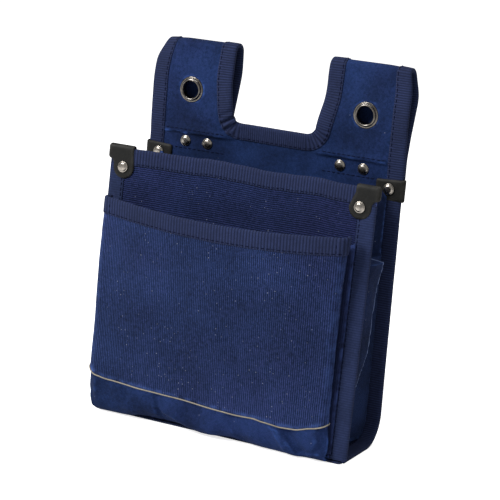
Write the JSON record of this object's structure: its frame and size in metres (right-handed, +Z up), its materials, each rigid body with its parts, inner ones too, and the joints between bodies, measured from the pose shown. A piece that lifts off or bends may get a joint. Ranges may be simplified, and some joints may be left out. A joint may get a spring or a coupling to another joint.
{
  "type": "electrician tool pouch",
  "caption": "Canvas tool pouch with a main and a front pocket on bellows gussets, two riveted belt loops with eyelets, taped edges and leather corner patches.",
  "frame": {"origin": "on the surface that the pouch stands on, under the middle of its outer box", "axes": "+Z up towards the belt loops, +X to the right as seen from the front, -Y to the front, towards the second pocket"},
  "size_m": [0.234, 0.1076, 0.2988],
  "materials": {
    "canvas": "plain-woven navy polyester canvas, matt",
    "ribbed_canvas": "ribbed navy canvas, matt",
    "binding_tape": "grosgrain tape, ribbed across its width",
    "piping": "pale seam cord",
    "leather": "grained black leather, semi-matt",
    "nickel": "bright nickel plate"
  },
  "bodies": {
    "back": {"back_panel": "canvas", "bottom_panel": "canvas", "cutout_tape": "binding_tape", "base_tape": "binding_tape", "loop_rivet_caps": "nickel", "loop_rivet_posts": "nickel", "back_corner_rivet_caps": "nickel", "back_corner_rivet_posts": "nickel", "right_loop_tab": "canvas", "right_loop_strap": "canvas", "right_edge_tape": "binding_tape", "right_back_corner": "leather", "right_gusset_rear_leaf": "canvas", "right_eyelet": "nickel", "right_eyelet_washer": "nickel", "left_loop_tab": "canvas", "left_loop_strap": "canvas", "left_edge_tape": "binding_tape", "left_back_corner": "leather", "left_gusset_rear_leaf": "canvas", "left_eyelet": "nickel", "left_eyelet_washer": "nickel"},
    "main_front": {"front_panel": "ribbed_canvas", "front_mouth_tape": "binding_tape", "front_corner_rivet_caps": "nickel", "front_corner_rivet_posts": "nickel", "right_front_seam_tape": "binding_tape", "right_front_corner": "leather", "right_gusset_front_leaf": "canvas", "right_pocket_gusset_rear_leaf": "canvas", "left_front_seam_tape": "binding_tape", "left_front_corner": "leather", "left_gusset_front_leaf": "canvas", "left_pocket_gusset_rear_leaf": "canvas"},
    "front_pocket": {"pocket_panel": "ribbed_canvas", "pocket_mouth_tape": "binding_tape", "pocket_piping": "piping", "pocket_band": "canvas", "right_pocket_gusset_front_leaf": "canvas", "left_pocket_gusset_front_leaf": "canvas"}
  },
  "joints": [
    {"name": "main_pocket_mouth", "type": "hinge", "parent": "back", "child": "main_front", "pos_m": [0, -0.035, 0.0015], "axis": [1, 0, 0], "range_deg": [-6, 8], "stiffness_Nm_per_rad": 6},
    {"name": "front_pocket_mouth", "type": "hinge", "parent": "main_front", "child": "front_pocket", "pos_m": [0, -0.0355, 0.0036], "axis": [1, 0, 0], "range_deg": [-2, 6], "stiffness_Nm_per_rad": 3}
  ]
}
